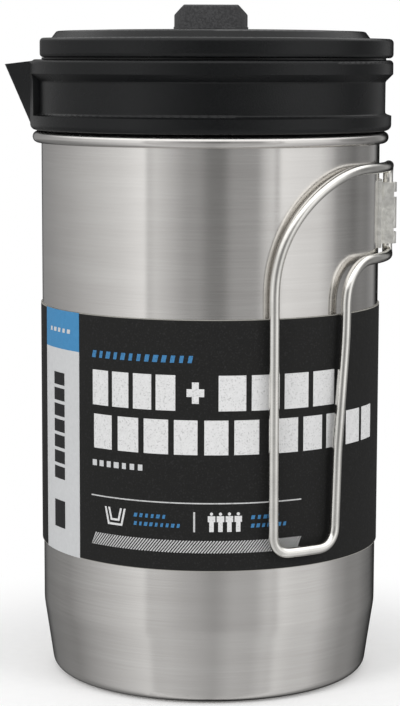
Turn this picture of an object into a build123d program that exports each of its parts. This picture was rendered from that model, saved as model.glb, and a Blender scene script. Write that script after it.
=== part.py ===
"""Stainless camping press pot: a drawn steel pot with a folding wire handle, a press-in lid with a
pour spout, and a plunger with a mesh filter.  Millimetres, +Z up, origin at the centre of the base,
spout towards -X, handle hinge towards +X.  At rest the plunger is pressed down and the handle is folded
round the front (-Y) of the pot."""
import os
from math import acos, atan2, ceil, cos, hypot, pi, radians, sin, tan

from build123d import *

# ---- pot
POT_R = 50.0              # outer radius of the straight wall
POT_WALL = 0.8            # sheet thickness
RIM_TOP = 161.0           # top of the rolled rim
TAPER_TOP = 20.5          # the wall narrows below this height
TAPER_IN = 3.0            # how far the wall has come in at the floor
FOOT_FILLET = 3.2         # outer bend between wall and base
TAPER_FILLET = 20.0       # soft bend at the top of the taper
CURL_R = 0.9              # inner radius of the rolled rim
CURL_END = -70.0          # where the roll stops, degrees below horizontal

# ---- paper sleeve round the wall
SLEEVE_BOTTOM = 39.3
SLEEVE_TOP = 110.4
SLEEVE_GAP = 0.05         # between wall and paper
SLEEVE_THICK = 0.4

# ---- handle wire and its bracket
WIRE_R = 1.5              # radius of the wire
BORE_CLEARANCE = 0.05     # wire in the bracket's bore
BRACKET_BACK = 0.3        # channel's back, between saddle and bore
BRACKET_BOTTOM = 127.8
BRACKET_HEIGHT = 18.1
SADDLE_THICK = 0.9        # plate welded to the wall
SADDLE_HALF = 8.0         # half its width
SADDLE_OVER = 0.9         # how far it shows above and below the bracket
CHEEK_PAST = 1.65         # outer edge of the flat cheeks, past the hinge axis
KNUCKLE_WALL = 1.1
SLOT_HEIGHTS = ((3.4, 1.1), (13.7, 1.6))    # slots between knuckles: height above the bottom, width
STUB_GAP = 1.0            # between the two wire ends inside the bracket
WIRE_STEP = 4.5           # spacing of the points that bend the wire round the pot
BEND_STEP = 20.0          # and their greatest turn, degrees

# The handle laid flat: (distance round the pot from the hinge, height, bend radius)
HANDLE_TOP = 151.0
HANDLE_LOW = 124.9        # where the lower run enters the bracket
HANDLE_BOTTOM = 44.3
HANDLE_FLAT = (
    (0.0, HANDLE_TOP, 3.4),
    (65.0, HANDLE_TOP + 0.2, 33.5),
    (64.8, HANDLE_BOTTOM, 4.5),
    (44.2, HANDLE_BOTTOM, 5.5),
    (43.2, 72.0, 60.0),
    (40.2, 104.0, 60.0),
    (39.7, HANDLE_LOW + 0.3, 11.0),
    (0.0, HANDLE_LOW, 2.4),
)

# ---- lid collar with the spout
LID_GAP = 0.3             # flange above the rolled rim
PLUG_CLEARANCE = 0.5      # plug in the pot's mouth
PLUG_DEPTH = 11.8
PLUG_WALL = 2.3
COLLAR_HEIGHT = 20.5      # flange to top face
BEAD_OUT = 3.3            # bottom bead, outside the pot's wall
BEAD_HEIGHT = 4.9
WAIST_OUT = 1.5           # recessed waist, outside the pot's wall
LIP_OUT = 3.7             # top lip, outside the pot's wall
LIP_HEIGHT = 6.3
COLLAR_WALL = 2.7         # at the waist
PAD_ANGLE = 15.0          # half the plain part beside the spout, degrees
SPOUT_OUT = 11.4          # tip, outside the pot's wall
SPOUT_ROOT_OUT = 2.6      # foot of the spout's front line, outside the pot's wall
SPOUT_TIP_R = 2.8
SPOUT_HALF = 13.5         # half width at the root
SPOUT_WALL = 2.4
SPOUT_DROOP = 1.5         # how far its top edge falls to the tip
SPOUT_FLOOR = 4.6         # channel floor above the flange

# ---- silicone seal in the plug's groove
SEAL_UP = 6.0             # groove centre below the flange
SEAL_HEIGHT = 4.0
SEAL_DEPTH = 1.3          # groove depth
SEAL_FIT = 0.05           # seal in its groove, so that the lid can turn
SEAL_GAP = 0.1            # seal to the pot's bore

# ---- lid cap
CAP_FIT = 0.15            # skirt inside the collar
SKIRT_DEPTH = 12.0
SKIRT_WALL = 1.6
SNAP_R = 0.5              # snap bead on the skirt
SHADOW_GAP = 0.5          # groove between collar and cap rim
CAP_RIM = 5.6             # rim height
RIM_ROUND = 1.2
STEP_IN = 2.1             # the cap's seat is this much smaller than its rim
FLAT_X = 49.0             # flat cut at the spout side
FLAT_CORNER = 8.0
PLATEAU_IN = 6.7          # top panel's edge, inside the rim
PANEL_RISE = 2.1
DOME_RISE = 0.4
LAND_R = 14.0             # flat round the rod
CAP_SKIN = 2.2
BOSS_R = 7.5
BOSS_DEPTH = 15.0         # below the cap's land
STRAINER_SLOTS = 7
SLOT_WIDTH = 1.6
SLOT_PITCH = 3.4

# ---- plunger
ROD_R = 2.5
ROD_FIT = 0.05            # rod in its bushing
BUSHING_WALL = 2.0
BUSHING_FLANGE = 1.2
KNOB_GAP = 0.3            # knob above the cap when pressed
KNOB_HEIGHT = 7.0
KNOB_R = 10.8
KNOB_FOOT = 0.2           # foot flange outside the knob
KNOB_FLAT = 7.6           # front and back flats, from the axis
KNOB_CHAMFER = 2.9        # across the corners at its two sides
KNOB_ROUND = 0.6
INSERT_R = 4.2
FILTER_CLEARANCE = 0.3    # wiper to the pot's bore
FILTER_OVER = 2.0         # wiper above the pot's taper when pressed
WIPER_HEIGHT = 6.0
WIPER_WIDTH = 4.2
WIPER_GRIP = 2.0          # how deep the discs sit in the wiper
BASE_PLATE = 0.9
MESH_THICK = 0.3
TOP_PLATE = 0.6
SPOKE = 8.0
RIM_BAND = 5.0
HUB_R = 9.0
HOLE_R = 2.2
SHOULDER_R = 6.5
SHOULDER_HEIGHT = 3.0
THREAD_R = 2.0            # lower end of the rod
WASHER_R = 6.0
WASHER_THICK = 0.8
NUT_FLATS = 7.0
NUT_HEIGHT = 3.2

# ---- levels and radii that several pieces share
BORE_R = POT_R - POT_WALL
HINGE_X = POT_R + SADDLE_THICK + BRACKET_BACK + BORE_CLEARANCE + WIRE_R
FLANGE_Z = RIM_TOP + LID_GAP
COLLAR_TOP = FLANGE_Z + COLLAR_HEIGHT
PLUG_R = BORE_R - PLUG_CLEARANCE
SEAL_Z = FLANGE_Z - SEAL_UP
LIP_R = POT_R + LIP_OUT
COLLAR_BORE = POT_R + WAIST_OUT - COLLAR_WALL
RIM_BOTTOM = COLLAR_TOP + SHADOW_GAP
CAP_RIM_TOP = RIM_BOTTOM + CAP_RIM
CAP_LAND = CAP_RIM_TOP + PANEL_RISE + DOME_RISE
SKIRT_R = COLLAR_BORE - CAP_FIT
SKIRT_BOTTOM = COLLAR_TOP - SKIRT_DEPTH
SNAP_Z = SKIRT_BOTTOM + 2 * SNAP_R
BOSS_BOTTOM = CAP_LAND - BOSS_DEPTH
BUSHING_R = ROD_R + ROD_FIT + BUSHING_WALL
KNOB_Z = CAP_LAND + KNOB_GAP
KNOB_TOP = KNOB_Z + KNOB_HEIGHT
WIPER_Z = TAPER_TOP + FILTER_OVER
WIPER_R = BORE_R - FILTER_CLEARANCE
STACK = BASE_PLATE + MESH_THICK + TOP_PLATE
STACK_Z = WIPER_Z + (WIPER_HEIGHT - STACK) / 2
DISC_R = WIPER_R - WIPER_WIDTH + WIPER_GRIP


def turned(*corners, arc=360, start=0):
    """A solid of revolution about Z.  Each corner is (radius, height) or (radius, height, fillet)."""
    points = [(c[0], 0, c[1]) for c in corners]
    fillets = [c[2] if len(c) > 2 else 0 for c in corners]
    face = make_face(FilletPolyline(*points, radius=fillets, close=True))
    return revolve(Rot(0, 0, start) * face, Axis.Z, arc)


def disc(radius, bottom, height):
    return Pos(0, 0, bottom) * extrude(Circle(radius), height)


def pot_shell():
    """Flat base, tapered foot and straight wall in one sheet, with the rim rolled outwards."""
    lean = atan2(TAPER_IN, TAPER_TOP)
    foot_in = POT_R - TAPER_IN + POT_WALL * tan(lean) - POT_WALL / cos(lean)
    taper_in = (TAPER_IN - POT_WALL + POT_WALL / cos(lean)) / tan(lean)
    curl_z = RIM_TOP - CURL_R - POT_WALL
    curl_x = POT_R + CURL_R
    sheet = turned(
        (0, 0),
        (POT_R - TAPER_IN, 0, FOOT_FILLET),
        (POT_R, TAPER_TOP, TAPER_FILLET),
        (POT_R, curl_z),
        (BORE_R, curl_z),
        (BORE_R, taper_in, TAPER_FILLET + POT_WALL),
        (foot_in, POT_WALL, FOOT_FILLET - POT_WALL),
        (0, POT_WALL),
    )
    end = radians(CURL_END)
    inside = CenterArc((0, 0), CURL_R, CURL_END, 180 - CURL_END)
    outside = CenterArc((0, 0), CURL_R + POT_WALL, CURL_END, 180 - CURL_END)
    lip = Line((CURL_R * cos(end), CURL_R * sin(end)), outside @ 0)
    seam = Line(inside @ 1, outside @ 1)
    section = Plane.XZ * make_face([inside, outside, lip, seam])
    curl = revolve(Pos(curl_x, 0, curl_z) * section, Axis.Z)
    return sheet + curl


def label_sleeve():
    inner = POT_R + SLEEVE_GAP
    ring = Circle(inner + SLEEVE_THICK) - Circle(inner)
    return Pos(0, 0, SLEEVE_BOTTOM) * extrude(ring, SLEEVE_TOP - SLEEVE_BOTTOM)


def bracket_saddle():
    """Curved plate welded to the wall behind the handle's bracket."""
    ring = Circle(POT_R + SADDLE_THICK) - Circle(POT_R)
    plan = ring & (Pos(POT_R, 0) * Rectangle(2 * POT_R, 2 * SADDLE_HALF))
    plate = extrude(plan, BRACKET_HEIGHT + 2 * SADDLE_OVER)
    return Pos(0, 0, BRACKET_BOTTOM - SADDLE_OVER) * plate


def handle_bracket():
    """Folded channel with flat cheeks and three rolled knuckles that hold the wire's ends."""
    bore = WIRE_R + BORE_CLEARANCE
    knuckle = bore + KNUCKLE_WALL
    back = POT_R + SADDLE_THICK
    depth = HINGE_X + CHEEK_PAST
    block = Pos(depth / 2, 0) * Rectangle(depth, 2 * knuckle) + Pos(HINGE_X, 0) * Circle(knuckle)
    body = extrude(block - Circle(back) - Pos(HINGE_X, 0) * Circle(bore), BRACKET_HEIGHT)
    for height, width in SLOT_HEIGHTS:
        slot = Box(4 * knuckle, 2 * bore, width, align=(Align.MIN, Align.CENTER, Align.MIN))
        body -= Pos(HINGE_X - bore, 0, height) * slot
        outer = Box(4 * knuckle, 4 * knuckle, width, align=(Align.MIN, Align.CENTER, Align.MIN))
        body -= Pos(depth, 0, height) * outer
    return Pos(0, 0, BRACKET_BOTTOM) * body


def wrapped(point):
    """A point of the flat handle, bent round the pot."""
    turn = point.X / HINGE_X
    return Vector(HINGE_X * cos(turn), -HINGE_X * sin(turn), point.Y)


def handle_wire():
    """One wire, from its upper end in the bracket round the loop and back to its lower end."""
    middle = (HANDLE_TOP + HANDLE_LOW) / 2
    ends = (0, middle + STUB_GAP / 2), (0, middle - STUB_GAP / 2)
    corners = [c[:2] for c in HANDLE_FLAT]
    flat = FilletPolyline(ends[0], *corners, ends[1], radius=[c[2] for c in HANDLE_FLAT])
    places, done = [0], 0
    for edge in flat.edges():
        bend = edge.length / edge.radius if edge.geom_type == GeomType.CIRCLE else 0
        count = ceil(max(edge.length / WIRE_STEP, bend / radians(BEND_STEP)))
        places += [(done + edge.length * (i + 1) / count) / flat.length for i in range(count)]
        done += edge.length
    points = [wrapped(flat @ place) for place in places]
    route = [points[0]]
    for here, after in zip(points[1:], points[2:]):
        if (here - route[-1]).get_angle(after - here) > 0.3:
            route.append(here)
    route.append(points[-1])
    bends = []
    for before, here, after in zip(route, route[1:], route[2:]):
        turn = radians((here - before).get_angle(after - here))
        run = min((here - before).length, (after - here).length)
        bends.append(0.45 * run / tan(turn / 2))
    path = FilletPolyline(*route, radius=bends)
    section = Plane(origin=path @ 0, z_dir=path % 0) * Circle(WIRE_R)
    return sweep(section, path=path)


def spout_reach(z):
    """How far the spout's front line stands from the axis at height z."""
    share = (z - FLANGE_Z) / COLLAR_HEIGHT
    return POT_R + SPOUT_ROOT_OUT + (SPOUT_OUT - SPOUT_ROOT_OUT) * share


def spout_plan(z, wall):
    """The spout's plan at height z, drawn in by a wall: a rounded tip and two straight sides."""
    tip = SPOUT_TIP_R - wall / 2
    half = SPOUT_HALF - wall
    root = COLLAR_BORE - 2.0 - wall
    centre = spout_reach(z) - wall - tip
    reach = hypot(centre - root, half)
    turn = atan2(half, centre - root) + acos(tip / reach)
    touch = tip * cos(turn) - centre, tip * sin(turn)
    nose = ThreePointArc(touch, (-centre - tip, 0), (touch[0], -touch[1]))
    sides = Polyline(nose @ 1, (-root, -half), (-root, half), nose @ 0)
    return Pos(0, 0, z) * make_face([nose, sides])


def lid_collar():
    """Ring with a plug that enters the pot, a recessed waist, and the pour spout."""
    inner = PLUG_R - PLUG_WALL
    plug_z = FLANGE_Z - PLUG_DEPTH
    waist_z = FLANGE_Z + BEAD_HEIGHT
    ring = turned(
        (inner, plug_z, 0.6),
        (PLUG_R, plug_z, 1.0),
        (PLUG_R, FLANGE_Z, 0.3),
        (POT_R + BEAD_OUT, FLANGE_Z, 1.7),
        (POT_R + BEAD_OUT, COLLAR_TOP - LIP_HEIGHT),
        (LIP_R, COLLAR_TOP - LIP_HEIGHT + 2.2),
        (LIP_R, COLLAR_TOP, RIM_ROUND),
        (COLLAR_BORE, COLLAR_TOP),
        (COLLAR_BORE, waist_z, 0.8),
        (inner, waist_z, 0.8),
    )
    wall = POT_R + WAIST_OUT
    flare = LIP_OUT - WAIST_OUT + 1.0
    recess = turned(
        (wall, waist_z, 0.8),
        (wall, COLLAR_TOP - LIP_HEIGHT, 0.8),
        (wall + flare, COLLAR_TOP - LIP_HEIGHT + flare),
        (wall + flare, waist_z - flare / 3),
        arc=360 - 2 * PAD_ANGLE,
        start=180 + PAD_ANGLE,
    )
    spout = loft([spout_plan(FLANGE_Z, 0), spout_plan(COLLAR_TOP, 0)], ruled=True)
    floor = FLANGE_Z + SPOUT_FLOOR
    channel = loft([spout_plan(floor, SPOUT_WALL), spout_plan(COLLAR_TOP + 1, SPOUT_WALL)], ruled=True)
    groove = turned(
        (PLUG_R - SEAL_DEPTH, SEAL_Z - SEAL_HEIGHT / 2),
        (PLUG_R + 1, SEAL_Z - SEAL_HEIGHT / 2),
        (PLUG_R + 1, SEAL_Z + SEAL_HEIGHT / 2),
        (PLUG_R - SEAL_DEPTH, SEAL_Z + SEAL_HEIGHT / 2),
    )
    snap = turned(
        (COLLAR_BORE - 1, SNAP_Z - 2 * SNAP_R),
        (COLLAR_BORE, SNAP_Z - 2 * SNAP_R),
        (COLLAR_BORE + SNAP_R, SNAP_Z),
        (COLLAR_BORE, SNAP_Z + 2 * SNAP_R),
        (COLLAR_BORE - 1, SNAP_Z + 2 * SNAP_R),
    )
    tip_x = -(POT_R + SPOUT_OUT)
    droop = Plane.XZ * Polygon(
        (2 - POT_R, COLLAR_TOP),
        (tip_x, COLLAR_TOP - SPOUT_DROOP),
        (tip_x - 1, COLLAR_TOP + 1),
        (2 - POT_R, COLLAR_TOP + 1),
        align=None,
    )
    droop = extrude(droop, SPOUT_HALF, both=True)
    inside = disc(COLLAR_BORE, waist_z, COLLAR_HEIGHT)
    below = disc(inner, plug_z, COLLAR_HEIGHT)
    return ring - recess + (spout - inside - below) - channel - groove - snap - droop


def lid_seal():
    """Silicone ring with two lips, loose enough in its groove for the lid to turn inside it."""
    inner = PLUG_R - SEAL_DEPTH + SEAL_FIT
    outer = BORE_R - SEAL_GAP
    root = PLUG_R + 0.05
    half = SEAL_HEIGHT / 2 - SEAL_FIT
    return turned(
        (inner, SEAL_Z - half),
        (root, SEAL_Z - half),
        (outer, SEAL_Z - half * 0.6, 0.1),
        (root, SEAL_Z),
        (outer, SEAL_Z + half * 0.6, 0.1),
        (root, SEAL_Z + half),
        (inner, SEAL_Z + half),
    )


def cap_plan(radius, flat):
    """A disc cut flat at the spout side, with rounded corners."""
    plan = Circle(radius) & (Pos(radius - flat, 0) * Rectangle(2 * radius, 2 * radius))
    corners = plan.vertices().sort_by(Axis.X)[:2]
    return fillet(corners, FLAT_CORNER) if flat < radius - 1 else plan


def lid_cap():
    """Top cover: rim, domed panel, skirt with strainer slots, and a boss for the rod's bushing."""
    rim_r = LIP_R
    seat_r = LIP_R - STEP_IN
    rim = extrude(cap_plan(rim_r, FLAT_X), CAP_RIM)
    edges = rim.faces().sort_by(Axis.Z)[-1].edges() + rim.faces().sort_by(Axis.Z)[0].edges()
    rim = Pos(0, 0, RIM_BOTTOM) * fillet(edges, RIM_ROUND)
    seat = Pos(0, 0, COLLAR_TOP) * extrude(cap_plan(seat_r, SKIRT_R + 0.2), SHADOW_GAP)
    panel_r = rim_r - PLATEAU_IN
    ceiling = CAP_RIM_TOP + PANEL_RISE - CAP_SKIN
    panel = turned(
        (0, ceiling),
        (panel_r, ceiling),
        (panel_r, CAP_RIM_TOP),
        (panel_r - 1.6, CAP_RIM_TOP + PANEL_RISE, 1.0),
        (panel_r * 0.76, CAP_RIM_TOP + PANEL_RISE + 0.65 * DOME_RISE, 20),
        (LAND_R, CAP_LAND),
        (0, CAP_LAND),
    )
    skirt_in = SKIRT_R - SKIRT_WALL
    skirt = turned(
        (skirt_in, SKIRT_BOTTOM),
        (SKIRT_R, SKIRT_BOTTOM),
        (SKIRT_R + SNAP_R, SNAP_Z),
        (SKIRT_R, SNAP_Z + SNAP_R),
        (SKIRT_R, COLLAR_TOP + SHADOW_GAP),
        (skirt_in, COLLAR_TOP + SHADOW_GAP),
    )
    hollow = disc(skirt_in, COLLAR_TOP - 1, ceiling - COLLAR_TOP + 1)
    boss = disc(BOSS_R, BOSS_BOTTOM, CAP_LAND - BOSS_BOTTOM - 1)
    cap = rim + seat + skirt + panel - hollow + boss - disc(BUSHING_R, BOSS_BOTTOM - 1, BOSS_DEPTH + 2)
    slot = Box(3 * SKIRT_WALL, SLOT_WIDTH, SKIRT_DEPTH - 5, align=(Align.CENTER, Align.CENTER, Align.MIN))
    for i in range(STRAINER_SLOTS):
        turn = 180 + (i - (STRAINER_SLOTS - 1) / 2) * SLOT_PITCH / SKIRT_R * 180 / pi
        cap -= Rot(0, 0, turn) * Pos(SKIRT_R, 0, SKIRT_BOTTOM + 3.4) * slot
    return cap


def rod_bushing():
    """Flanged guide pressed into the cap's boss from below."""
    flange = BOSS_BOTTOM - BUSHING_FLANGE
    tube = disc(BUSHING_R, BOSS_BOTTOM, BOSS_DEPTH - 0.4) + disc(BOSS_R - 1, flange, BUSHING_FLANGE)
    return tube - disc(ROD_R + ROD_FIT, flange - 1, BOSS_DEPTH + BUSHING_FLANGE + 1)


def plunger_knob():
    """Low round knob with front and back flats, bevelled at its two sides, on a thin foot flange."""
    bevel_r = KNOB_R - KNOB_CHAMFER
    bevel_z = KNOB_TOP - KNOB_CHAMFER
    outline = Plane.XZ * Polygon(
        (-KNOB_R, KNOB_Z),
        (KNOB_R, KNOB_Z),
        (KNOB_R, bevel_z),
        (bevel_r, KNOB_TOP),
        (-bevel_r, KNOB_TOP),
        (-KNOB_R, bevel_z),
        align=None,
    )
    body = disc(KNOB_R, KNOB_Z, KNOB_HEIGHT) & extrude(outline, KNOB_FLAT, both=True)
    upper = [edge for edge in body.edges() if edge.center().Z > bevel_z]
    body = fillet(upper, KNOB_ROUND)
    foot = disc(KNOB_R + KNOB_FOOT, KNOB_Z, 0.6)
    socket = disc(INSERT_R, KNOB_Z, KNOB_HEIGHT - 1.5)
    return body + foot - socket


def knob_insert():
    """Brass thread insert moulded into the knob."""
    height = KNOB_HEIGHT - 1.5
    return disc(INSERT_R, KNOB_Z, height) - disc(ROD_R, KNOB_Z, height)


def plunger_rod():
    """Rod with a shoulder that rests on the filter, and a thinner threaded end through it."""
    top = STACK_Z + STACK
    shaft = disc(ROD_R, top, KNOB_TOP - 1.5 - top)
    shoulder = disc(SHOULDER_R, top, SHOULDER_HEIGHT)
    thread_z = STACK_Z - WASHER_THICK - NUT_HEIGHT - 1.0
    return shaft + shoulder + disc(THREAD_R, thread_z, top - thread_z)


def filter_top_plate():
    """Perforated disc that presses the mesh down."""
    z = STACK_Z + BASE_PLATE + MESH_THICK
    holes = Sketch()
    for count, share in ((12, 0.32), (18, 0.54), (26, 0.78)):
        holes += PolarLocations(DISC_R * share, count) * Circle(HOLE_R)
    return Pos(0, 0, z) * extrude(Circle(DISC_R) - Circle(THREAD_R) - holes, TOP_PLATE)


def filter_mesh():
    return Pos(0, 0, STACK_Z + BASE_PLATE) * extrude(Circle(DISC_R) - Circle(THREAD_R), MESH_THICK)


def filter_base_plate():
    """Spoked disc under the mesh."""
    windows = Circle(DISC_R - RIM_BAND) - Circle(HUB_R)
    windows -= Rectangle(2 * DISC_R, SPOKE) + Rectangle(SPOKE, 2 * DISC_R)
    return Pos(0, 0, STACK_Z) * extrude(Circle(DISC_R) - Circle(THREAD_R) - windows, BASE_PLATE)


def filter_wiper():
    """Silicone ring that grips the edges of the three discs and wipes the pot's wall."""
    inner = WIPER_R - WIPER_WIDTH
    return turned(
        (inner, WIPER_Z + 1.2),
        (WIPER_R, WIPER_Z, 0.8),
        (WIPER_R, WIPER_Z + WIPER_HEIGHT, 0.8),
        (inner, WIPER_Z + WIPER_HEIGHT - 1.2),
        (inner, STACK_Z + STACK),
        (DISC_R, STACK_Z + STACK),
        (DISC_R, STACK_Z),
        (inner, STACK_Z),
    )


def filter_washer():
    return disc(WASHER_R, STACK_Z - WASHER_THICK, WASHER_THICK) - disc(THREAD_R, STACK_Z - 5, 10)


def filter_nut():
    z = STACK_Z - WASHER_THICK - NUT_HEIGHT
    hexagon = RegularPolygon(NUT_FLATS / 2, 6, major_radius=False)
    return Pos(0, 0, z) * extrude(hexagon - Circle(THREAD_R), NUT_HEIGHT)


PIECES = (
    pot_shell,
    label_sleeve,
    bracket_saddle,
    handle_bracket,
    handle_wire,
    lid_collar,
    lid_seal,
    lid_cap,
    rod_bushing,
    plunger_knob,
    knob_insert,
    plunger_rod,
    filter_top_plate,
    filter_mesh,
    filter_base_plate,
    filter_wiper,
    filter_washer,
    filter_nut,
)

os.makedirs("parts", exist_ok=True)
for piece in PIECES:
    export_step(piece(), f"parts/{piece.__name__}.step")
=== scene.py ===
"""Looks of a stainless camping press pot: brushed steel pot with a printed paper sleeve, a folding wire
handle, a satin black lid with a spout, and a plunger with a mesh filter.  Metres, +Z up, the spout
towards -X and the handle's hinge towards +X."""
from math import ceil, cos, pi, radians, sin

import bmesh
import bpy
from mathutils import Matrix, Vector


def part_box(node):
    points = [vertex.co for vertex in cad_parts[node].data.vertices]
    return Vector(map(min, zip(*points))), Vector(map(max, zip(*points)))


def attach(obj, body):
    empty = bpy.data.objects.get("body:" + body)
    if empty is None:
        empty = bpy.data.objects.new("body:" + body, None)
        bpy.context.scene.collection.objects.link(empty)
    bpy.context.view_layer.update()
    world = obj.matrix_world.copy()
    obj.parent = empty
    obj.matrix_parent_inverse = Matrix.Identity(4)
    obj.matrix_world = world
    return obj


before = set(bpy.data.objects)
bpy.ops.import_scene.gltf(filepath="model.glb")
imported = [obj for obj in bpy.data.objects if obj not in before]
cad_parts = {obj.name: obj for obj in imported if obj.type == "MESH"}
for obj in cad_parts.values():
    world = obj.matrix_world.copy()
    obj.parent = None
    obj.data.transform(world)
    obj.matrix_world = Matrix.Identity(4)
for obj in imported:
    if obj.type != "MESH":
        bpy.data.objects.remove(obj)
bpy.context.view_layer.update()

MM = 0.001
MICRON = 0.000001

# ---- the sleeve, read from the frame
SLEEVE_LOW, SLEEVE_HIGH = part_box("label_sleeve")
SLEEVE_R = SLEEVE_HIGH.y
SLEEVE_BOTTOM = SLEEVE_LOW.z
SLEEVE_TOP = SLEEVE_HIGH.z

# ---- how the print is made
PRINT_OUT = 0.06 * MM      # ink stands this far off the paper
PRINT_IN = 0.05 * MM       # and reaches this far into it
OVERLAP_OUT = 0.4 * MM     # the board's second layer at the back stands off this far
SLAB_STEP = 2.5            # longest straight step of a printed slab, in degrees
BAR_POINTS = 3             # points along a printed bar
SPOT_SIDES = 14            # sides of a printed spot

# ---- where the print is: angles are degrees from +X round the front, left edge first
PANEL = (160.8, 137.8)     # the white panel with its blue top
PANEL_BARS = (153.4, 146.2)
PANEL_MARK = (157.0, 142.0)
TEXT_LEFT = 132.0          # left edge of everything printed beside the panel
RULE_RIGHT = 59.3
HATCH_RIGHT = 59.2
NOTE_ONE_LEFT = 115.6
NOTE_TWO_LEFT = 77.2
DIVIDER = (95.4, 94.8)     # short upright rule between the two signs
PEOPLE = (91.0, 79.6)
OVERLAP = (-84.0, -97.0)

# ---- bottom and top of the print, in millimetres above the base
SLEEVE_BOTTOM_MM = SLEEVE_BOTTOM / MM
SLEEVE_TOP_MM = SLEEVE_TOP / MM
BLUE_FROM = 99.2
PANEL_MARK_LINE = (104.0, 105.2)
OVER_LINE = (98.4, 100.4)
UPPER_HEADLINE = (84.9, 94.9)
LOWER_HEADLINE = (72.5, 82.3)
SIZE_LINE = (67.4, 69.1)
RULE_LINE = (58.6, 58.95)
DIVIDER_LINE = (50.6, 56.3)
HEADS_LINE = (55.4, 56.2)
ARMS_LINE = (53.5, 55.2)
BODIES_LINE = (50.7, 54.9)
NOTE_TOP_LINE = (54.1, 55.2)
NOTE_LOW_LINE = (51.7, 52.8)
HATCH_LINE = (44.6, 48.1)
BAR_LOWEST = 61.0          # seven bars on the panel, the lowest from here
BAR_PITCH = 4.6
BAR_HEIGHT = 3.6
BAR_COUNT = 7
LONE_BAR = (46.6, 54.6)

# ---- steel
STEEL_REFLECTS = 0.70      # how much light the brushed steel gives back

# ---- what the steel sees round it: (azimuth in degrees from the front, brightness as it shows)
UPPER_BANDS = (
    (-180, 0.10), (-168, 0.12), (-162, 0.47), (-135, 0.55), (-110, 0.63), (-80, 0.73),
    (-62, 0.79), (-45, 0.87), (-42, 0.70), (-37, 0.77), (-27, 0.68), (-16, 0.55),
    (-8, 0.52), (-1, 0.40), (8, 0.38), (14, 0.52), (31, 0.55), (37, 0.72),
    (42, 0.79), (45, 0.64), (48, 0.86), (78, 0.80), (88, 0.68),
    (95, 0.52), (112, 0.40), (122, 0.46), (132, 0.44), (146, 0.54), (153, 0.30),
    (157, 0.06), (180, 0.10),
)
LOWER_BANDS = (
    (-180, 0.14), (-162, 0.24), (-150, 0.40), (-125, 0.46), (-112, 0.47), (-95, 0.57),
    (-73, 0.67), (-46, 0.77), (-42, 0.69), (-30, 0.69), (-12, 0.64), (3, 0.59),
    (16, 0.66), (31, 0.64), (40, 0.70), (45, 0.68), (50, 0.77), (62, 0.72),
    (80, 0.71), (95, 0.60), (110, 0.50), (125, 0.48), (140, 0.38), (160, 0.14), (180, 0.14),
)
LOWER_BY = (-0.09, -0.24)  # slope of the sight line where the lower bands take over
WHITE_BY = (0.28, 0.65)    # and where plain white takes over above
SOFT_LEVEL = 0.82          # brightness of the surroundings as plain soft light

# ---- floor, lamps and camera
FLOOR_RADIUS = 3.0
FLOOR_SIDES = 96
FLOOR_DROP = 0.3 * MM      # gap under the pot
FLOOR_FADE = (0.052, 0.13)  # distance from the axis over which the floor turns white
LAMP_AIM = (0, 0, 0.1)
LAMP_SIZE = 0.6
LAMPS = (
    ("left_softbox", (-0.7, -0.8, 0.75), 5.0),
    ("right_softbox", (0.8, -0.7, 0.6), 3.5),
)
LENS = 110.8
SENSOR_WIDTH = 36.0
CAMERA_PLACE = (-2.97 * MM, -646.8 * MM, 181.7 * MM)
CAMERA_DOWN = 7.68         # degrees below level
CAMERA_ROLL = 0.15


# ---------------------------------------------------------------- node helpers
def add(tree, kind, inputs=None, **settings):
    """A node with its settings, and its inputs linked or set by name or place."""
    made = tree.nodes.new(kind)
    for name, value in settings.items():
        setattr(made, name, value)
    for key, value in (inputs or {}).items():
        if isinstance(value, bpy.types.NodeSocket):
            tree.links.new(value, made.inputs[key])
        else:
            made.inputs[key].default_value = value
    return made


def maths(tree, operation, *values):
    return add(tree, "ShaderNodeMath", dict(enumerate(values)), operation=operation).outputs[0]


def between(tree, value, low, high, start=0.0, end=1.0, smooth=True):
    """value carried from low..high to start..end, and held beyond."""
    kind = "SMOOTHSTEP" if smooth else "LINEAR"
    inputs = {0: value, 1: low, 2: high, 3: start, 4: end}
    return add(tree, "ShaderNodeMapRange", inputs, interpolation_type=kind).outputs[0]


def grey(level):
    return (level, level, level, 1.0)


def shown(level):
    """Linear value of a brightness given as it shows on a screen."""
    return level / 12.92 if level <= 0.04045 else ((level + 0.055) / 1.055) ** 2.4


def colour(red, green, blue):
    """Colour from screen values of 0 to 255."""
    return (shown(red / 255), shown(green / 255), shown(blue / 255), 1.0)


def ramp(tree, factor, stops):
    made = add(tree, "ShaderNodeValToRGB", {0: factor})
    elements = made.color_ramp.elements
    elements.remove(elements[1])
    elements[0].position, elements[0].color = stops[0]
    for place, tint in stops[1:]:
        elements.new(place).color = tint
    return made.outputs[0]


def blend(tree, factor, first, second):
    """Colour between first and second."""
    made = add(tree, "ShaderNodeMix", {"Factor": factor}, data_type="RGBA")
    for socket, value in ((made.inputs[6], first), (made.inputs[7], second)):
        if isinstance(value, bpy.types.NodeSocket):
            tree.links.new(value, socket)
        else:
            socket.default_value = value
    return made.outputs[2]


def noise(tree, place, scale, **more):
    inputs = {"Vector": place, "Scale": scale, **more}
    return add(tree, "ShaderNodeTexNoise", inputs).outputs[0]


def bump(tree, height, distance, strength=1.0):
    inputs = {"Height": height, "Distance": distance, "Strength": strength}
    return add(tree, "ShaderNodeBump", inputs).outputs[0]


def join_axes(tree, inputs):
    return add(tree, "ShaderNodeCombineXYZ", inputs).outputs[0]


def split_axes(tree, vector):
    return add(tree, "ShaderNodeSeparateXYZ", {0: vector}).outputs


def object_place(tree):
    return add(tree, "ShaderNodeTexCoord").outputs["Object"]


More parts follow.
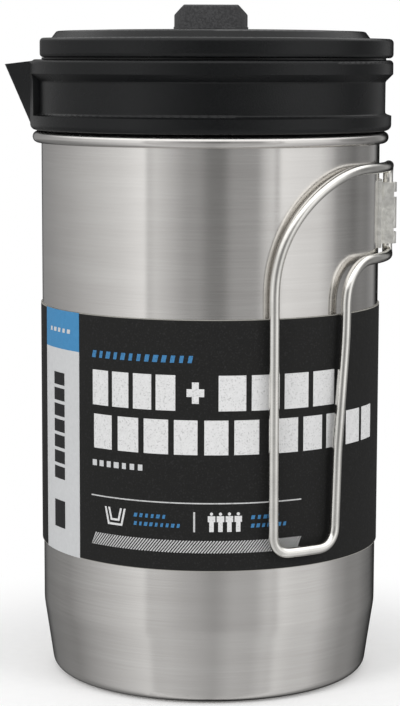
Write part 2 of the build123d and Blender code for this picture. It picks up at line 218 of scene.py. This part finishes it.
# ---------------------------------------------------------------- shared surface effects
def new_group(name, inputs, outputs):
    group = bpy.data.node_groups.new(name, "ShaderNodeTree")
    for label, value in inputs:
        socket = group.interface.new_socket(label, in_out="INPUT", socket_type="NodeSocketFloat")
        socket.default_value = value
    for label, kind in outputs:
        group.interface.new_socket(label, in_out="OUTPUT", socket_type=kind)
    return group, add(group, "NodeGroupInput").outputs


def give_out(group, values):
    add(group, "NodeGroupOutput", values)
    return group


def brushed_grain():
    """Fine lines left by turning the piece against a brush: round the axis on walls, in rings on flats."""
    streaks_per_line = 0.14
    group, given = new_group(
        "brushed_grain",
        (("Line length", 40.0), ("Fineness", 2600.0), ("Depth", 20 * MICRON)),
        (("Grain", "NodeSocketFloat"), ("Streak", "NodeSocketFloat"), ("Normal", "NodeSocketVector")),
    )
    axes = split_axes(group, object_place(group))
    flat = join_axes(group, {0: axes[0], 1: axes[1]})
    out = add(group, "ShaderNodeVectorMath", {0: flat}, operation="LENGTH").outputs["Value"]
    height = maths(group, "ADD", axes[2], out)
    fine = maths(group, "MULTIPLY", height, given["Fineness"])
    coarse = maths(group, "MULTIPLY", fine, streaks_per_line)
    long_x = maths(group, "MULTIPLY", axes[0], given["Line length"])
    long_y = maths(group, "MULTIPLY", axes[1], given["Line length"])
    fine_place = join_axes(group, {0: long_x, 1: long_y, 2: fine})
    coarse_place = join_axes(group, {0: long_x, 1: long_y, 2: coarse})
    grain = noise(group, fine_place, 1.0, Detail=4.0, Roughness=0.7)
    streak = noise(group, coarse_place, 0.5, Detail=3.0)
    normal = bump(group, grain, given["Depth"])
    return give_out(group, {"Grain": grain, "Streak": streak, "Normal": normal})


def moulded_grain():
    """Spark-eroded mould texture: small rounded pits."""
    pit_floor, pit_rim = 0.35, 0.65
    group, given = new_group(
        "moulded_grain",
        (("Pits per metre", 1700.0), ("Depth", 40 * MICRON)),
        (("Grain", "NodeSocketFloat"), ("Normal", "NodeSocketVector")),
    )
    pits = noise(group, object_place(group), given["Pits per metre"], Detail=2.5)
    height = between(group, pits, pit_floor, pit_rim)
    return give_out(group, {"Grain": height, "Normal": bump(group, height, given["Depth"])})


def handling_rub():
    """Broad faint patches where hands and cloths have changed the shine."""
    untouched, rubbed = 0.35, 0.68
    group, given = new_group("handling_rub", (("Patch size", 30.0),), (("Rub", "NodeSocketFloat"),))
    patch = noise(group, object_place(group), given["Patch size"], Detail=3.0)
    return give_out(group, {"Rub": between(group, patch, untouched, rubbed)})


def paper_fibre():
    """Short fibres and flecks in coated board."""
    flecks_per_metre = 2100.0
    no_fleck, full_fleck = 0.55, 0.72
    group, given = new_group(
        "paper_fibre",
        (("Fibre size", 900.0), ("Depth", 30 * MICRON)),
        (("Fibre", "NodeSocketFloat"), ("Fleck", "NodeSocketFloat"), ("Normal", "NodeSocketVector")),
    )
    place = object_place(group)
    fibre = noise(group, place, given["Fibre size"], Detail=5.0, Distortion=0.6)
    fleck = noise(group, place, flecks_per_metre, Detail=1.0)
    flecks = between(group, fleck, no_fleck, full_fleck)
    return give_out(group, {"Fibre": fibre, "Fleck": flecks, "Normal": bump(group, fibre, given["Depth"])})


BRUSHED = brushed_grain()
MOULDED = moulded_grain()
RUB = handling_rub()
PAPER = paper_fibre()


def use(tree, group, **values):
    made = add(tree, "ShaderNodeGroup", node_tree=group)
    for label, value in values.items():
        made.inputs[label.replace("_", " ")].default_value = value
    return made.outputs


# ---------------------------------------------------------------- materials
def material(name, **constants):
    """An empty material with a Principled shader; constants are set on the shader's own sockets."""
    made = bpy.data.materials.new(name)
    made.use_nodes = True
    tree = made.node_tree
    tree.nodes.clear()
    shader = add(tree, "ShaderNodeBsdfPrincipled")
    add(tree, "ShaderNodeOutputMaterial", {"Surface": shader.outputs[0]})
    for label, value in constants.items():
        shader.inputs[label.replace("_", " ")].default_value = value
    return made, tree, shader


def feed(tree, shader, **sockets):
    for label, value in sockets.items():
        tree.links.new(value, shader.inputs[label.replace("_", " ")])


def brushed_steel(name, dark, light, smooth, rough, anisotropic, fineness=2600.0, depth=15 * MICRON):
    """Steel with lines round the axis; its highlights spread across them."""
    across_lines = 0.25
    rub_roughens = 0.03
    made, tree, shader = material(
        name, Metallic=1.0, Anisotropic=anisotropic, Anisotropic_Rotation=across_lines)
    lines = use(tree, BRUSHED, Fineness=fineness, Depth=depth)
    rub = use(tree, RUB, Patch_size=26.0)
    half_grain = maths(tree, "MULTIPLY", lines["Grain"], 0.5)
    shade = maths(tree, "MULTIPLY_ADD", lines["Streak"], 0.5, half_grain)
    tint = blend(tree, between(tree, shade, 0.3, 0.7, smooth=False), dark, light)
    shine = between(tree, lines["Grain"], 0.25, 0.75, smooth, rough, smooth=False)
    shine = maths(tree, "MULTIPLY_ADD", rub["Rub"], rub_roughens, shine)
    tangent = add(tree, "ShaderNodeTangent", direction_type="RADIAL", axis="Z").outputs[0]
    feed(tree, shader, Base_Color=tint, Roughness=shine, Normal=lines["Normal"], Tangent=tangent)
    return made


def polished_steel(name, tint, rough):
    rub_darkens = 0.9
    rub_roughens = 0.07
    made, tree, shader = material(name, Metallic=1.0)
    rub = use(tree, RUB, Patch_size=120.0)
    draw = use(tree, MOULDED, Pits_per_metre=2400.0, Depth=4 * MICRON)
    rubbed = tuple(rub_darkens * part for part in tint[:3]) + (1.0,)
    tone = blend(tree, rub["Rub"], tint, rubbed)
    shine = between(tree, rub["Rub"], 0.0, 1.0, rough, rough + rub_roughens)
    feed(tree, shader, Base_Color=tone, Roughness=shine, Normal=draw["Normal"])
    return made


def tumbled_steel(name, dark, light, smooth, rough):
    """Pressed steel after tumbling: bright, satin and faintly mottled, with no direction."""
    made, tree, shader = material(name, Metallic=1.0)
    pits = use(tree, MOULDED, Pits_per_metre=700.0, Depth=50 * MICRON)
    rub = use(tree, RUB, Patch_size=300.0)
    tint = blend(tree, pits["Grain"], dark, light)
    shine = between(tree, rub["Rub"], 0.0, 1.0, smooth, rough)
    feed(tree, shader, Base_Color=tint, Roughness=shine, Normal=pits["Normal"])
    return made


def black_plastic(name, dark, light, smooth, rough, pits, depth=40 * MICRON, gloss=0.25):
    made, tree, shader = material(name, IOR=1.5, Specular_IOR_Level=gloss)
    grain = use(tree, MOULDED, Pits_per_metre=pits, Depth=depth)
    rub = use(tree, RUB, Patch_size=40.0)
    tint = blend(tree, grain["Grain"], dark, light)
    shine = between(tree, rub["Rub"], 0.0, 1.0, smooth, rough)
    feed(tree, shader, Base_Color=tint, Roughness=shine, Normal=grain["Normal"])
    return made


def soft_silicone():
    made, tree, shader = material("silicone", IOR=1.42, Subsurface_Weight=0.08, Subsurface_Scale=MM)
    grain = use(tree, MOULDED, Pits_per_metre=900.0, Depth=20 * MICRON)
    rub = use(tree, RUB, Patch_size=60.0)
    tint = blend(tree, rub["Rub"], colour(58, 58, 60), colour(70, 70, 73))
    shine = between(tree, grain["Grain"], 0.0, 1.0, 0.45, 0.58)
    feed(tree, shader, Base_Color=tint, Roughness=shine, Normal=grain["Normal"])
    return made


def turned_brass():
    made, tree, shader = material("brass", Metallic=1.0, Anisotropic=0.4)
    lines = use(tree, BRUSHED, Line_length=120.0, Fineness=5200.0, Depth=10 * MICRON)
    tint = blend(tree, lines["Grain"], colour(176, 136, 70), colour(222, 184, 110))
    shine = between(tree, lines["Grain"], 0.2, 0.8, 0.22, 0.4)
    feed(tree, shader, Base_Color=tint, Roughness=shine, Normal=lines["Normal"])
    return made


def woven_steel():
    """Square-weave wire cloth: over-and-under waves one way and the other, with painted shade in the openings
    and on the wires' sides.
    """
    pitch = 0.55 * MM
    over_height = 0.35
    made, tree, shader = material("filter_mesh_steel", Metallic=1.0)
    axes = split_axes(tree, object_place(tree))
    warp = maths(tree, "SINE", maths(tree, "MULTIPLY", axes[0], 2 * pi / pitch))
    weft = maths(tree, "SINE", maths(tree, "MULTIPLY", axes[1], 2 * pi / pitch))
    over = maths(tree, "MULTIPLY", warp, weft)
    wires = maths(tree, "MAXIMUM", maths(tree, "ABSOLUTE", warp), maths(tree, "ABSOLUTE", weft))
    height = maths(tree, "MULTIPLY_ADD", over, over_height, wires)
    # painted shade and highlight: near black in the openings between the wires and on their rounded sides,
    # bright steel on the wire crowns
    tint = blend(tree, between(tree, wires, 0.35, 0.95), colour(40, 39, 38), colour(205, 202, 198))
    shine = between(tree, wires, 0.4, 1.0, 0.55, 0.25)
    feed(tree, shader, Base_Color=tint, Roughness=shine, Normal=bump(tree, height, 120 * MICRON, 0.8))
    return made


def sleeve_board(name, dark, light, fleck, rough, edge=None):
    """Printed board; edge is the raw cut colour along its top and bottom."""
    fleck_shows = 0.7
    rough_spread = 0.06
    edge_from, edge_full = 0.25 * MM, 0.05 * MM
    made, tree, shader = material(name, Specular_IOR_Level=0.15)
    fibres = use(tree, PAPER, Fibre_size=900.0, Depth=20 * MICRON)
    tint = blend(tree, fibres["Fibre"], dark, light)
    tint = blend(tree, maths(tree, "MULTIPLY", fibres["Fleck"], fleck_shows), tint, fleck)
    if edge:
        height = split_axes(tree, object_place(tree))[2]
        top = between(tree, height, SLEEVE_TOP - edge_from, SLEEVE_TOP - edge_full)
        bottom = between(tree, height, SLEEVE_BOTTOM + edge_from, SLEEVE_BOTTOM + edge_full)
        tint = blend(tree, maths(tree, "MAXIMUM", top, bottom), tint, edge)
    shine = between(tree, fibres["Fibre"], 0.3, 0.7, rough - rough_spread, rough + rough_spread)
    feed(tree, shader, Base_Color=tint, Roughness=shine, Normal=fibres["Normal"])
    return made


# dark and light ends of each tint, then smoothest and roughest shine
POT_STEEL = brushed_steel("pot_steel", colour(211, 208, 205), colour(225, 223, 220),
                          0.11, 0.19, anisotropic=0.85, depth=4 * MICRON)
ROD_STEEL = brushed_steel("rod_steel", colour(205, 203, 200), colour(228, 226, 223),
                          0.14, 0.24, anisotropic=0.5, fineness=5200.0)
FILTER_STEEL = brushed_steel("filter_steel", colour(186, 184, 181), colour(216, 214, 211),
                             0.24, 0.36, anisotropic=0.5, fineness=3200.0)
FASTENER_STEEL = brushed_steel("fastener_steel", colour(170, 168, 165), colour(206, 204, 200),
                               0.26, 0.4, anisotropic=0.2, fineness=4200.0)
BRACKET_STEEL = tumbled_steel("bracket_steel", colour(238, 237, 231), colour(254, 253, 248), 0.38, 0.52)
WIRE_STEEL = polished_steel("wire_steel", colour(240, 238, 233), rough=0.12)
WOVEN_STEEL = woven_steel()
LID_PLASTIC = black_plastic("lid_plastic", colour(9, 10, 11), colour(15, 16, 17),
                            0.24, 0.31, pits=2600.0, depth=12 * MICRON, gloss=0.28)
KNOB_PLASTIC = black_plastic("knob_plastic", colour(58, 58, 59), colour(74, 74, 75),
                             0.36, 0.46, pits=1900.0, depth=30 * MICRON, gloss=0.35)
BUSHING_PLASTIC = black_plastic("bushing_plastic", colour(52, 53, 55), colour(66, 67, 70),
                                0.4, 0.5, pits=1200.0)
SILICONE = soft_silicone()
BRASS = turned_brass()

# dark and light ends of each tint, then its flecks and roughness
SLEEVE_PAPER = sleeve_board("sleeve_paper", colour(22, 22, 22), colour(32, 32, 31),
                            colour(42, 42, 42), 0.62, edge=colour(150, 148, 142))
WHITE_INK = sleeve_board("white_ink", colour(176, 177, 178), colour(192, 193, 194),
                         colour(184, 185, 186), 0.6)
HEADLINE_INK = sleeve_board("headline_ink", colour(190, 190, 190), colour(212, 212, 212),
                            colour(160, 160, 160), 0.62)
BLUE_INK = sleeve_board("blue_ink", colour(54, 116, 160), colour(70, 132, 176), colour(62, 124, 168), 0.6)
BLUE_TYPE = sleeve_board("blue_type_ink", colour(52, 104, 146), colour(68, 124, 168),
                         colour(40, 84, 122), 0.62)
BLACK_INK = sleeve_board("black_ink", colour(30, 30, 31), colour(42, 42, 43), colour(36, 36, 37), 0.6)
GREY_INK = sleeve_board("grey_ink", colour(168, 168, 168), colour(194, 194, 194),
                        colour(140, 140, 140), 0.62)

FINISHES = {
    "pot_shell": POT_STEEL,
    "label_sleeve": SLEEVE_PAPER,
    "bracket_saddle": BRACKET_STEEL,
    "handle_bracket": BRACKET_STEEL,
    "handle_wire": WIRE_STEEL,
    "lid_seal": SILICONE,
    "lid_collar": LID_PLASTIC,
    "lid_cap": LID_PLASTIC,
    "rod_bushing": BUSHING_PLASTIC,
    "plunger_knob": KNOB_PLASTIC,
    "knob_insert": BRASS,
    "plunger_rod": ROD_STEEL,
    "filter_top_plate": FILTER_STEEL,
    "filter_mesh": WOVEN_STEEL,
    "filter_base_plate": FILTER_STEEL,
    "filter_wiper": SILICONE,
    "filter_washer": FASTENER_STEEL,
    "filter_nut": FASTENER_STEEL,
}
for node_name, finish in FINISHES.items():
    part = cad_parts[node_name]
    if not part.material_slots:
        part.data.materials.append(finish)
    for place in part.material_slots:
        place.material = finish


# ---------------------------------------------------------------- printed pieces on the sleeve
def link(name, mesh):
    made = bpy.data.objects.new(name, mesh)
    bpy.context.scene.collection.objects.link(made)
    return made


def wall_point(angle, out, height):
    turn = radians(angle)
    return Vector((out * cos(turn), -out * sin(turn), height))


def curved_slab(bm, outer, left, right, low, high, lean=0.0):
    """A closed slab lying on the sleeve; lean shifts its top edge to the right, in degrees."""
    inner = SLEEVE_R - PRINT_IN
    count = max(1, ceil(abs(left - right) / SLAB_STEP))
    rings = []
    for index in range(count + 1):
        angle = left + (right - left) * index / count
        corners = ((outer, low, 0.0), (outer, high, lean), (inner, high, lean), (inner, low, 0.0))
        rings.append([bm.verts.new(wall_point(angle - shift, out, height)) for out, height, shift in corners])
    for first, second in zip(rings, rings[1:]):
        for side in range(4):
            after = (side + 1) % 4
            bm.faces.new((first[side], second[side], second[after], first[after]))
    bm.faces.new(rings[0])
    bm.faces.new(rings[-1][::-1])


def printed(name, ink, slabs, stands_off=PRINT_OUT):
    """One printed piece made of slabs (left, right, bottom, top[, lean]), heights in millimetres."""
    bm = bmesh.new()
    for left, right, low, high, *lean in slabs:
        curved_slab(bm, SLEEVE_R + stands_off, left, right, low * MM, high * MM, *lean)
    bmesh.ops.recalc_face_normals(bm, faces=bm.faces)
    mesh = bpy.data.meshes.new(name)
    bm.to_mesh(mesh)
    bm.free()
    mesh.materials.append(ink)
    made = link(name, mesh)
    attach(made, "pot")
    return made


def printed_row_tree():
    """Marks of one shape in a row, wrapped round the sleeve."""
    tree = bpy.data.node_groups.new("printed_row", "GeometryNodeTree")
    tree.is_modifier = True
    sockets = (
        ("Count", "NodeSocketInt", 8), ("Pitch", "NodeSocketFloat", 0.002),
        ("Width", "NodeSocketFloat", 0.001), ("Height", "NodeSocketFloat", 0.003),
        ("Depth", "NodeSocketFloat", 0.0001), ("Lean", "NodeSocketFloat", 0.0),
        ("Uneven", "NodeSocketFloat", 0.0), ("Seed", "NodeSocketInt", 1),
        ("Radius", "NodeSocketFloat", 0.05), ("Start", "NodeSocketFloat", 0.0),
        ("Middle height", "NodeSocketFloat", 0.05), ("Round", "NodeSocketBool", False),
        ("Ink", "NodeSocketMaterial", None),
    )
    for label, kind, value in sockets:
        made = tree.interface.new_socket(label, in_out="INPUT", socket_type=kind)
        if value is not None:
            made.default_value = value
    tree.interface.new_socket("Geometry", in_out="OUTPUT", socket_type="NodeSocketGeometry")
    given = add(tree, "NodeGroupInput").outputs
    here = add(tree, "GeometryNodeInputPosition").outputs[0]
    axes = split_axes(tree, here)

    # one mark, a bar or a spot, with its top pushed sideways
    size = join_axes(tree, {0: given["Width"], 1: given["Height"], 2: given["Depth"]})
    bar = add(tree, "GeometryNodeMeshCube", {"Size": size, "Vertices X": BAR_POINTS}).outputs["Mesh"]
    half = maths(tree, "MULTIPLY", given["Width"], 0.5)
    sides = {"Vertices": SPOT_SIDES, "Radius": half, "Depth": given["Depth"]}
    spot = add(tree, "GeometryNodeMeshCylinder", sides).outputs["Mesh"]
    either = {"Switch": given["Round"], "False": bar, "True": spot}
    shape = add(tree, "GeometryNodeSwitch", either, input_type="GEOMETRY").outputs[0]
    slide = join_axes(tree, {0: maths(tree, "MULTIPLY", axes[1], given["Lean"])})
    leaning = add(tree, "GeometryNodeSetPosition", {"Geometry": shape, "Offset": slide}).outputs[0]

    # a flat row of them, each as wide as chance makes it
    step = join_axes(tree, {0: given["Pitch"]})
    line = add(tree, "GeometryNodeMeshLine", {"Count": given["Count"], "Offset": step}).outputs[0]
    least = maths(tree, "SUBTRACT", 1.0, given["Uneven"])
    bounds = {2: least, 3: 1.0, "Seed": given["Seed"]}
    chance = add(tree, "FunctionNodeRandomValue", bounds, data_type="FLOAT").outputs[1]
    wide = join_axes(tree, {0: chance, 1: 1.0, 2: 1.0})
    copies = {"Points": line, "Instance": leaning, "Scale": wide}
    row = add(tree, "GeometryNodeInstanceOnPoints", copies).outputs[0]
    solid = add(tree, "GeometryNodeRealizeInstances", {0: row}).outputs[0]

    # cut to length and wrapped on the wall
    half_pitch = maths(tree, "MULTIPLY", given["Pitch"], 0.5)
    first = maths(tree, "MULTIPLY", half_pitch, -1.0)
    last = maths(tree, "MULTIPLY_ADD", given["Count"], given["Pitch"], first)
    trimmed = maths(tree, "MINIMUM", maths(tree, "MAXIMUM", axes[0], first), last)
    turn = maths(tree, "SUBTRACT", given["Start"], maths(tree, "DIVIDE", trimmed, given["Radius"]))
    out = maths(tree, "ADD", given["Radius"], axes[2])
    on_wall = join_axes(tree, {
        0: maths(tree, "MULTIPLY", out, maths(tree, "COSINE", turn)),
        1: maths(tree, "MULTIPLY", maths(tree, "MULTIPLY", out, -1.0), maths(tree, "SINE", turn)),
        2: maths(tree, "ADD", given["Middle height"], axes[1]),
    })
    wrapped = add(tree, "GeometryNodeSetPosition", {"Geometry": solid, "Position": on_wall}).outputs[0]
    inked = add(tree, "GeometryNodeSetMaterial", {"Geometry": wrapped, "Material": given["Ink"]}).outputs[0]
    add(tree, "NodeGroupOutput", {"Geometry": inked})
    return tree


def made_by(tree, name, values):
    """The plain mesh that the tree makes with these values of its named inputs."""
    made = link(name, bpy.data.meshes.new(name))
    modifier = made.modifiers.new("make", "NODES")
    modifier.node_group = tree
    keys = {item.name: item.identifier for item in tree.interface.items_tree if item.in_out == "INPUT"}
    for label, value in values.items():
        modifier[keys[label]] = value
    graph = bpy.context.evaluated_depsgraph_get()
    mesh = bpy.data.meshes.new_from_object(made.evaluated_get(graph))
    made.modifiers.clear()
    made.data = mesh
    mesh.name = name
    return made


PRINTED_ROW = printed_row_tree()


def printed_row(name, ink, left, right, line, count, fill, lean=0.0, uneven=0.0, seed=1,
                is_round=False, layers=1):
    """A row of marks from left to right (degrees), between the two heights of a line."""
    low, high = line
    pitch = radians(left - right) * SLEEVE_R / count
    values = {
        "Count": count, "Pitch": pitch, "Width": pitch * fill, "Height": (high - low) * MM,
        "Depth": 2 * PRINT_OUT * layers, "Lean": lean, "Uneven": uneven, "Seed": seed,
        "Radius": SLEEVE_R, "Start": radians(left) - pitch / 2 / SLEEVE_R,
        "Middle height": (low + high) / 2 * MM, "Round": is_round, "Ink": ink,
    }
    made = made_by(PRINTED_ROW, name, values)
    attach(made, "pot")
    return made


printed("sleeve_white_panel", WHITE_INK, [(*PANEL, SLEEVE_BOTTOM_MM, BLUE_FROM)])
printed("sleeve_blue_block", BLUE_INK, [(*PANEL, BLUE_FROM, SLEEVE_TOP_MM)])
printed("sleeve_rules", GREY_INK, [(TEXT_LEFT, RULE_RIGHT, *RULE_LINE), (*DIVIDER, *DIVIDER_LINE)])
# one cup inside another, each as its left side, right side and base
printed("sleeve_cup_sign", HEADLINE_INK, [
    (125.0, 124.3, 51.0, 56.0, -1.3), (120.2, 119.5, 51.0, 56.0, 1.3), (125.0, 119.5, 51.0, 51.6),
    (123.9, 123.2, 52.3, 56.0, -1.0), (121.3, 120.6, 52.3, 56.0, 1.0), (123.9, 120.6, 52.3, 52.9),
])
printed_row("sleeve_headline_first", HEADLINE_INK, TEXT_LEFT, 100.5, UPPER_HEADLINE, count=4, fill=0.84,
            uneven=0.25, seed=3)
printed("sleeve_headline_plus", HEADLINE_INK, [(97.6, 92.0, 88.9, 91.1), (95.9, 93.7, 87.0, 93.0)])
printed_row("sleeve_headline_second", HEADLINE_INK, 88.5, 45.0, UPPER_HEADLINE, count=4, fill=0.86,
            uneven=0.12, seed=5)
printed_row("sleeve_headline_third", HEADLINE_INK, TEXT_LEFT, 73.5, LOWER_HEADLINE, count=6, fill=0.84,
            uneven=0.14, seed=8)
printed_row("sleeve_headline_fourth", HEADLINE_INK, 69.5, 21.0, LOWER_HEADLINE, count=5, fill=0.84,
            uneven=0.12, seed=11)
printed_row("sleeve_over_line", BLUE_TYPE, TEXT_LEFT, 95.0, OVER_LINE, count=13, fill=0.6,
            lean=0.25, uneven=0.35, seed=4)
printed_row("sleeve_size_line", WHITE_INK, TEXT_LEFT, 111.5, SIZE_LINE, count=7, fill=0.7,
            uneven=0.35, seed=6)
for note, left, right, line, count, seed in (
    ("sleeve_note_one_top", NOTE_ONE_LEFT, 104.0, NOTE_TOP_LINE, 6, 7),
    ("sleeve_note_one_low", NOTE_ONE_LEFT, 99.3, NOTE_LOW_LINE, 9, 9),
    ("sleeve_note_two_top", NOTE_TWO_LEFT, 67.0, NOTE_TOP_LINE, 5, 12),
    ("sleeve_note_two_low", NOTE_TWO_LEFT, 64.5, NOTE_LOW_LINE, 7, 14),
):
    printed_row(note, BLUE_TYPE, left, right, line, count, fill=0.62, lean=0.25, uneven=0.3, seed=seed)
printed_row("sleeve_people_heads", HEADLINE_INK, *PEOPLE, HEADS_LINE, count=4, fill=0.36, is_round=True)
printed_row("sleeve_people_arms", HEADLINE_INK, *PEOPLE, ARMS_LINE, count=4, fill=0.84)
printed_row("sleeve_people_bodies", HEADLINE_INK, *PEOPLE, BODIES_LINE, count=4, fill=0.5)
printed_row("sleeve_hatch", GREY_INK, TEXT_LEFT, HATCH_RIGHT, HATCH_LINE, count=74, fill=0.5,
            lean=0.8)
printed_row("sleeve_panel_mark", WHITE_INK, *PANEL_MARK, PANEL_MARK_LINE, count=5, fill=0.7,
            lean=0.2, uneven=0.4, seed=15, layers=2)
BAR_BOTTOMS = [BAR_LOWEST + BAR_PITCH * index for index in range(BAR_COUNT)]
panel_bars = [(*PANEL_BARS, low, low + BAR_HEIGHT) for low in BAR_BOTTOMS] + [(*PANEL_BARS, *LONE_BAR)]
printed("sleeve_panel_bars", BLACK_INK, panel_bars, stands_off=2 * PRINT_OUT)
printed("sleeve_overlap", SLEEVE_PAPER, [(*OVERLAP, SLEEVE_BOTTOM_MM, SLEEVE_TOP_MM)],
        stands_off=OVERLAP_OUT)


# ---------------------------------------------------------------- studio
def bands_round(tree, place, bands):
    """Brightness by azimuth, place running from 0 to 1 round the whole turn."""
    return ramp(tree, place, [((turn + 180) / 360, grey(shown(level))) for turn, level in bands])


def studio_world():
    """Soft white surroundings; mirror-like surfaces see a studio of pale and dark bands instead."""
    world = bpy.data.worlds.new("studio")
    world.use_nodes = True
    tree = world.node_tree
    tree.nodes.clear()
    axes = split_axes(tree, add(tree, "ShaderNodeTexCoord").outputs["Generated"])
    azimuth = maths(tree, "ARCTAN2", axes[0], maths(tree, "MULTIPLY", axes[1], -1.0))
    place = between(tree, azimuth, -pi, pi, smooth=False)
    upper = bands_round(tree, place, UPPER_BANDS)
    lower = bands_round(tree, place, LOWER_BANDS)
    bands = blend(tree, between(tree, axes[2], *LOWER_BY), upper, lower)
    seen = blend(tree, between(tree, axes[2], *WHITE_BY), bands, grey(1.0))
    mirrored = add(tree, "ShaderNodeBackground", {"Color": seen, "Strength": 1 / STEEL_REFLECTS})
    around = add(tree, "ShaderNodeBackground", {"Color": grey(1.0), "Strength": SOFT_LEVEL})
    plain = add(tree, "ShaderNodeBackground", {"Color": grey(1.0), "Strength": 1.0})
    ray = add(tree, "ShaderNodeLightPath").outputs
    lit_by = {0: ray["Is Glossy Ray"], 1: around.outputs[0], 2: mirrored.outputs[0]}
    soft = add(tree, "ShaderNodeMixShader", lit_by).outputs[0]
    direct = maths(tree, "MAXIMUM", ray["Is Camera Ray"], ray["Is Transmission Ray"])
    whole = add(tree, "ShaderNodeMixShader", {0: direct, 1: soft, 2: plain.outputs[0]})
    add(tree, "ShaderNodeOutputWorld", {"Surface": whole.outputs[0]})
    bpy.context.scene.world = world


def studio_floor():
    """A pale table: it keeps the pot's soft shadow, fades to white and is clear from below."""
    bm = bmesh.new()
    bmesh.ops.create_circle(bm, cap_ends=True, segments=FLOOR_SIDES, radius=FLOOR_RADIUS)
    bm.normal_update()
    bmesh.ops.reverse_faces(bm, faces=[face for face in bm.faces if face.normal.z < 0])
    mesh = bpy.data.meshes.new("floor")
    bm.to_mesh(mesh)
    bm.free()
    floor = link("floor", mesh)
    floor.location.z = -FLOOR_DROP
    made, tree, shader = material("pale_floor", Roughness=0.9, Specular_IOR_Level=0.1)
    place = object_place(tree)
    speck = noise(tree, place, 300.0)
    feed(tree, shader, Base_Color=blend(tree, speck, grey(0.93), grey(0.97)))
    far = add(tree, "ShaderNodeVectorMath", {0: place}, operation="LENGTH").outputs["Value"]
    ray = add(tree, "ShaderNodeLightPath").outputs
    fade = maths(tree, "MULTIPLY", between(tree, far, *FLOOR_FADE), ray["Is Camera Ray"])
    white = add(tree, "ShaderNodeEmission", {"Color": grey(1.0), "Strength": 1.0}).outputs[0]
    table = add(tree, "ShaderNodeMixShader", {0: fade, 1: shader.outputs[0], 2: white}).outputs[0]
    clear = add(tree, "ShaderNodeBsdfTransparent").outputs[0]
    below = add(tree, "ShaderNodeNewGeometry").outputs["Backfacing"]
    one_way = add(tree, "ShaderNodeMixShader", {0: below, 1: table, 2: clear}).outputs[0]
    tree.links.new(one_way, tree.nodes["Material Output"].inputs["Surface"])
    mesh.materials.append(made)
    floor.visible_glossy = False


def soft_lamp(name, place, power):
    lamp = bpy.data.lights.new(name, "AREA")
    lamp.shape = "DISK"
    lamp.size = LAMP_SIZE
    lamp.energy = power
    made = link(name, lamp)
    made.location = place
    made.rotation_euler = (Vector(LAMP_AIM) - Vector(place)).to_track_quat("-Z", "Y").to_euler()
    made.visible_glossy = False


def studio_camera():
    data = bpy.data.cameras.new("camera")
    data.lens = LENS
    data.sensor_width = SENSOR_WIDTH
    camera = link("camera", data)
    camera.location = CAMERA_PLACE
    level = Matrix.Rotation(radians(90 - CAMERA_DOWN), 3, "X")
    camera.rotation_euler = (level @ Matrix.Rotation(radians(CAMERA_ROLL), 3, "Z")).to_euler()
    bpy.context.scene.camera = camera


studio_world()
studio_floor()
for lamp_name, lamp_place, lamp_power in LAMPS:
    soft_lamp(lamp_name, lamp_place, lamp_power)
studio_camera()
bpy.context.scene.view_settings.view_transform = "Standard"
